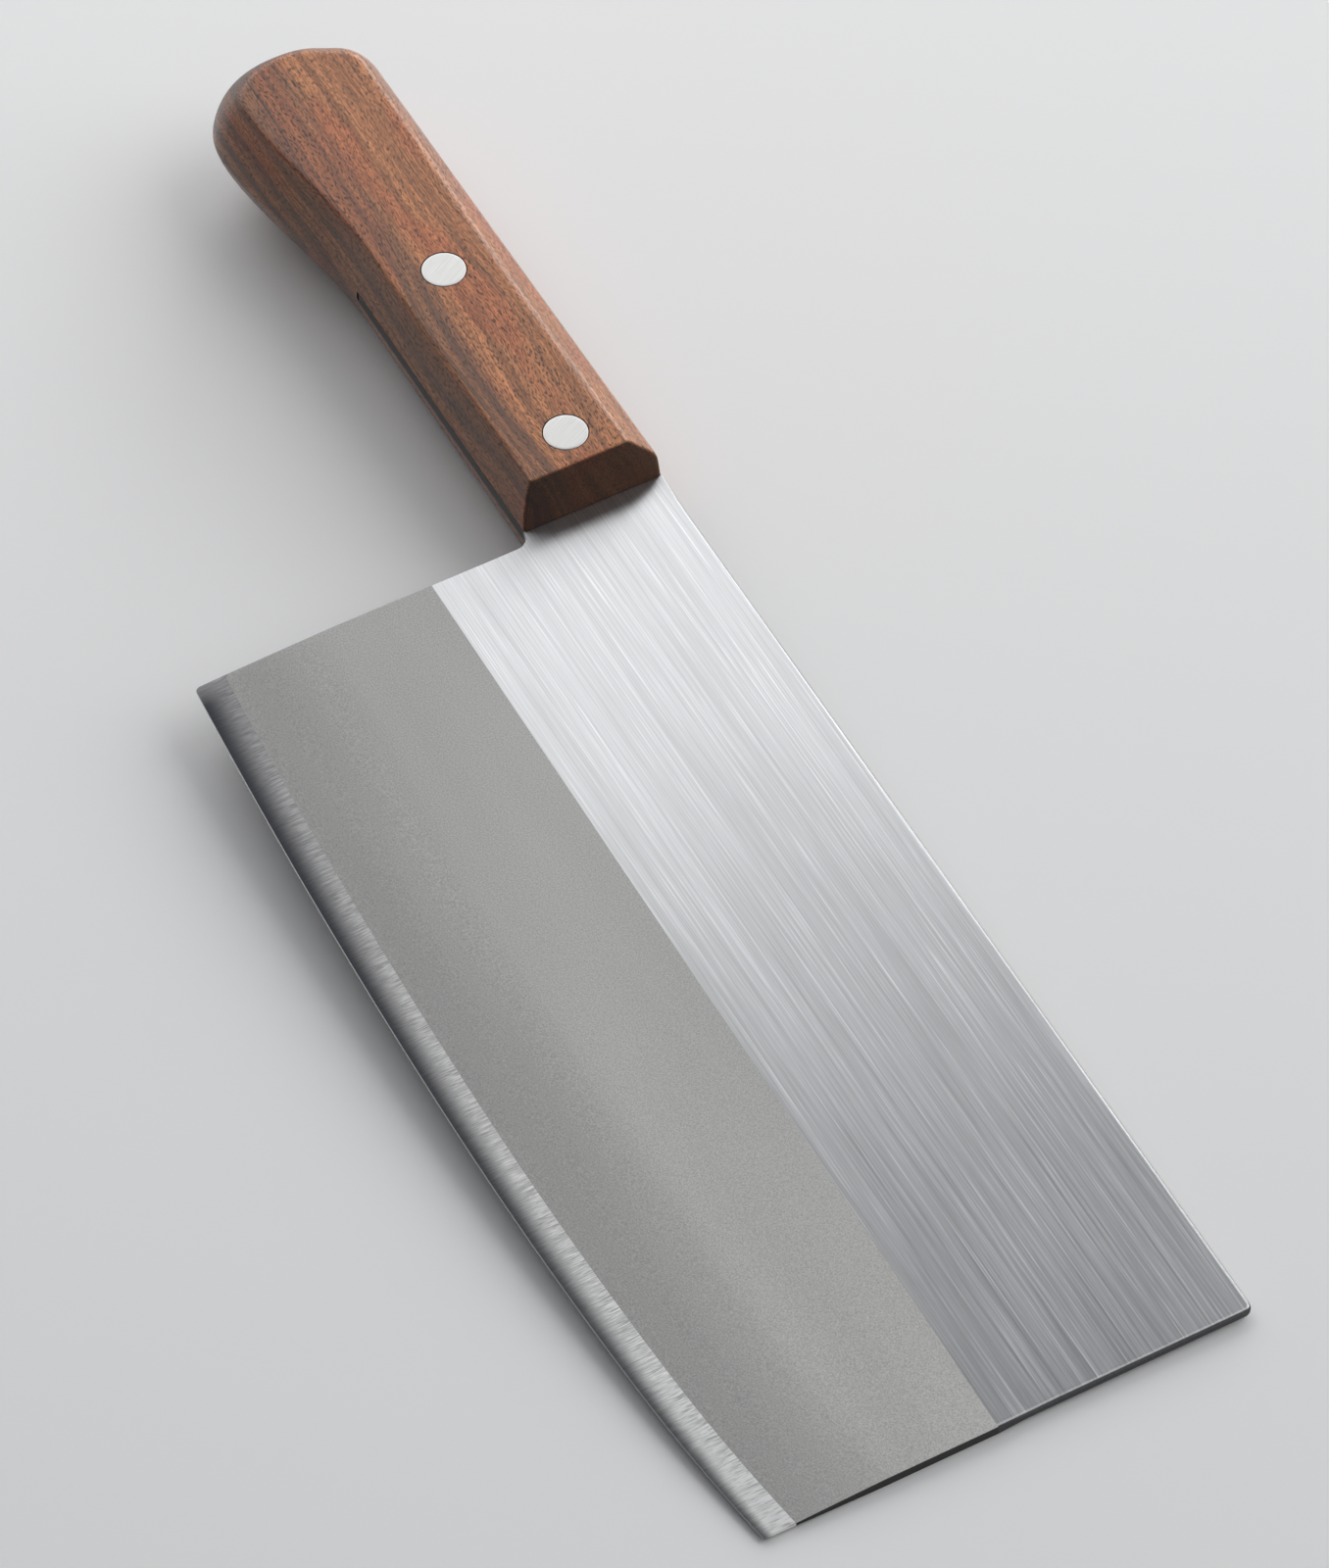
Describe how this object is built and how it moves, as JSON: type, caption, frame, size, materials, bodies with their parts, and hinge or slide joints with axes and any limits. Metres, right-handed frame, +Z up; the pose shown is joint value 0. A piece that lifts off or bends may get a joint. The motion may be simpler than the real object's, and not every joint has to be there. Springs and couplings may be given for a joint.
{
  "type": "chinese cleaver",
  "caption": "Broad, thin rectangular cleaver with a gently curved cutting edge, and a riveted wooden handle with a slot for the tang.",
  "frame": {"origin": "middle of the bottom of the bounding box, with the cleaver lying on its side on the handle's flat underside", "axes": "+X from the handle's butt to the blade's front end, +Y from the cutting edge to the spine, +Z up, square to the blade"},
  "size_m": [0.3217, 0.0962, 0.021],
  "materials": {
    "blade_steel": "satin, lengthwise hairlines by the spine, fine matte below",
    "handle_wood": "oiled, satin",
    "rivet_metal": "satin"
  },
  "bodies": {
    "root": {"blade": "blade_steel", "handle": "handle_wood", "front_rivet_socket": "rivet_metal", "front_rivet_pin": "rivet_metal", "rear_rivet_socket": "rivet_metal", "rear_rivet_pin": "rivet_metal"}
  },
  "joints": []
}
